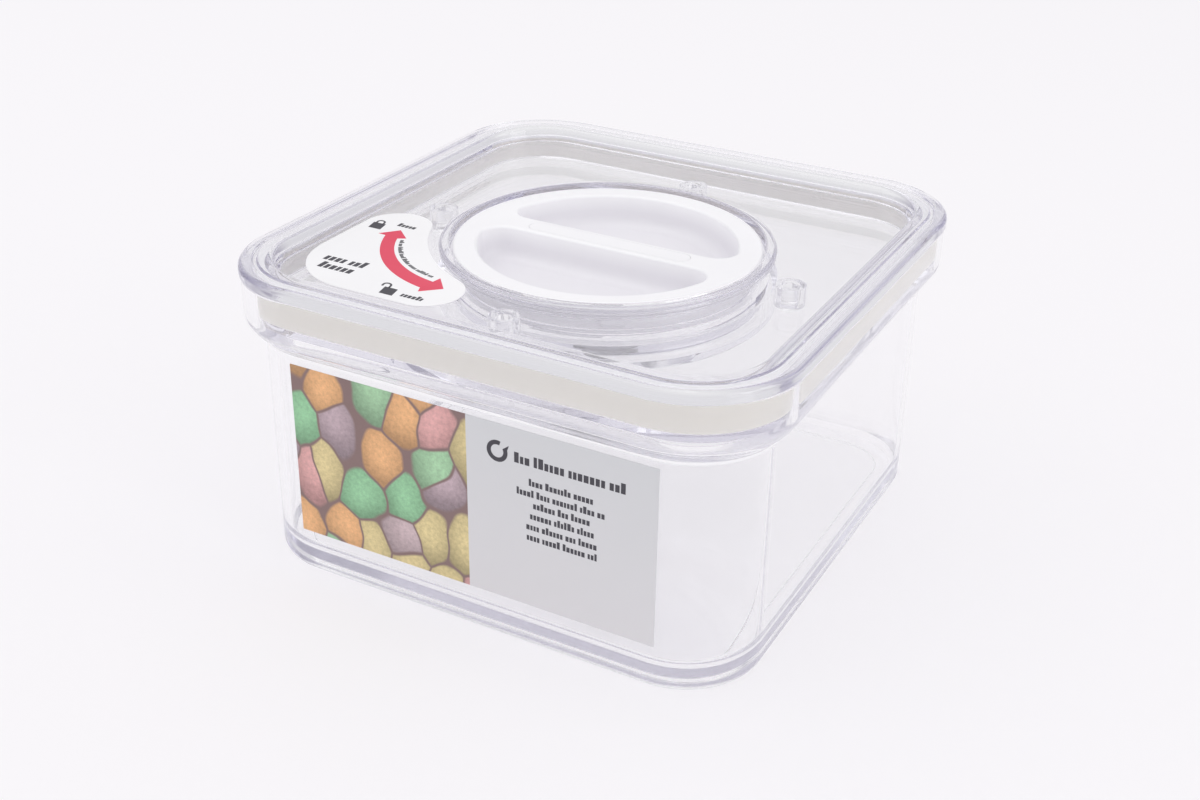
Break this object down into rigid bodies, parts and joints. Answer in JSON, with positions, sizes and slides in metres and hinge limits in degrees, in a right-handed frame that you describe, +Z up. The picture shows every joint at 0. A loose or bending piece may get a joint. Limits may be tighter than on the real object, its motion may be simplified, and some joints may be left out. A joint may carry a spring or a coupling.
{
  "type": "airtight storage container",
  "caption": "Clear square kitchen container whose lid seals by turning a flush knob, which draws a clamp plate up and squeezes a silicone gasket out against the collar.",
  "frame": {"origin": "on the surface it stands on, under the middle of the tub", "axes": "+Z up, the labelled front wall faces -Y, +X to the right seen from the front"},
  "size_m": [0.158, 0.158, 0.0876],
  "materials": {
    "clear_plastic": "clear, polished, faint violet tint in thick edges",
    "white_plastic": "white, fine satin moulded skin",
    "silicone": "ivory silicone, soft sheen",
    "acetal": "white acetal, low friction, dull",
    "seal_rubber": "pale silicone, cut ring",
    "screw_steel": "stainless, plain",
    "label_print": "printed paper, half picture, half pale grey",
    "sticker_print": "white coated paper with a printed arrow"
  },
  "bodies": {
    "container": {"tub": "clear_plastic", "front_label": "label_print"},
    "cover": {"lid": "clear_plastic", "lid_sticker": "sticker_print", "gasket": "silicone", "thrust_washer": "acetal"},
    "turn_knob": {"knob": "white_plastic", "grip_cap": "white_plastic", "knob_screw": "screw_steel", "spindle": "acetal", "spindle_seal": "seal_rubber"},
    "clamp": {"clamp_plate": "clear_plastic", "cam_nut": "clear_plastic", "nut_screws": "screw_steel"}
  },
  "joints": [
    {"name": "lid_lift", "type": "slide", "parent": "container", "child": "cover", "axis": [0, 0, 1], "range_m": [0, 0.1]},
    {"name": "knob_turn", "type": "hinge", "parent": "cover", "child": "turn_knob", "pos_m": [0, 0, 0.0695], "axis": [0, 0, 1], "range_deg": [0, 90]},
    {"name": "plate_lift", "type": "slide", "parent": "cover", "child": "clamp", "axis": [0, 0, 1], "range_m": [-0.0018, 0], "deforming": ["gasket"]}
  ],
  "couplings": [
    {"joint": "plate_lift", "follows": "knob_turn", "m_per_rad": -0.0011459}
  ]
}
